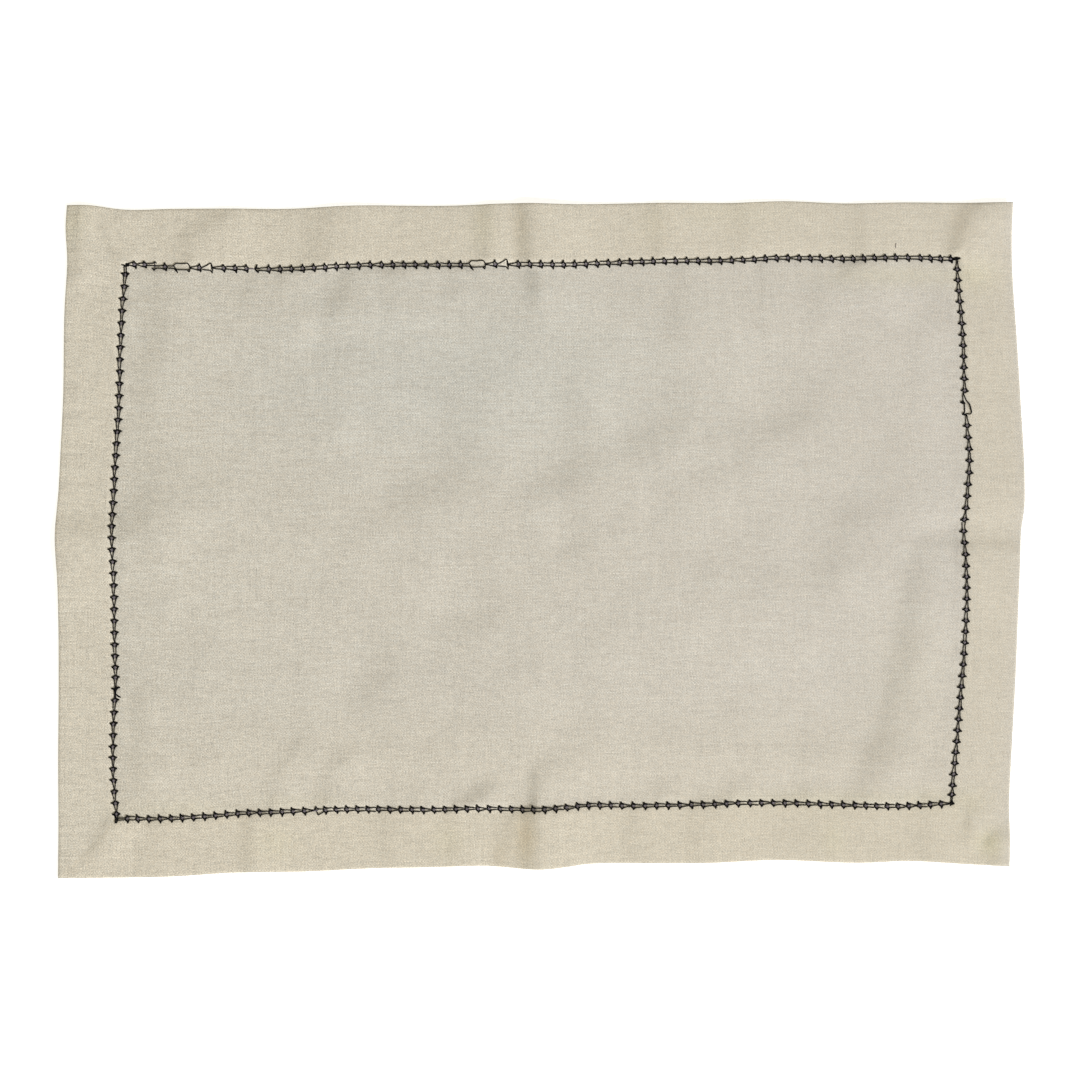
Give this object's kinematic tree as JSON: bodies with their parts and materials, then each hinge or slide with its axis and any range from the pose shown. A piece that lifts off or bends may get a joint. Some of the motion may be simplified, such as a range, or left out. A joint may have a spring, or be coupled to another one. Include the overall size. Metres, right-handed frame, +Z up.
{
  "type": "fabric placemat",
  "caption": "Rectangular linen placemat lying flat, with a wide mitred hem held by a line of dark decorative hemstitching.",
  "frame": {"origin": "middle of the mat's box, on the surface that it lies on", "axes": "+X along its length to the right, +Y towards its back edge, +Z up"},
  "size_m": [0.5158, 0.3602, 0.0035],
  "materials": {
    "linen": "plain-woven slubby linen in a warm pale stone colour, matt; the decorative stitching on it is charcoal black thread"
  },
  "bodies": {
    "root": {"placemat_cloth": "linen"}
  },
  "joints": []
}
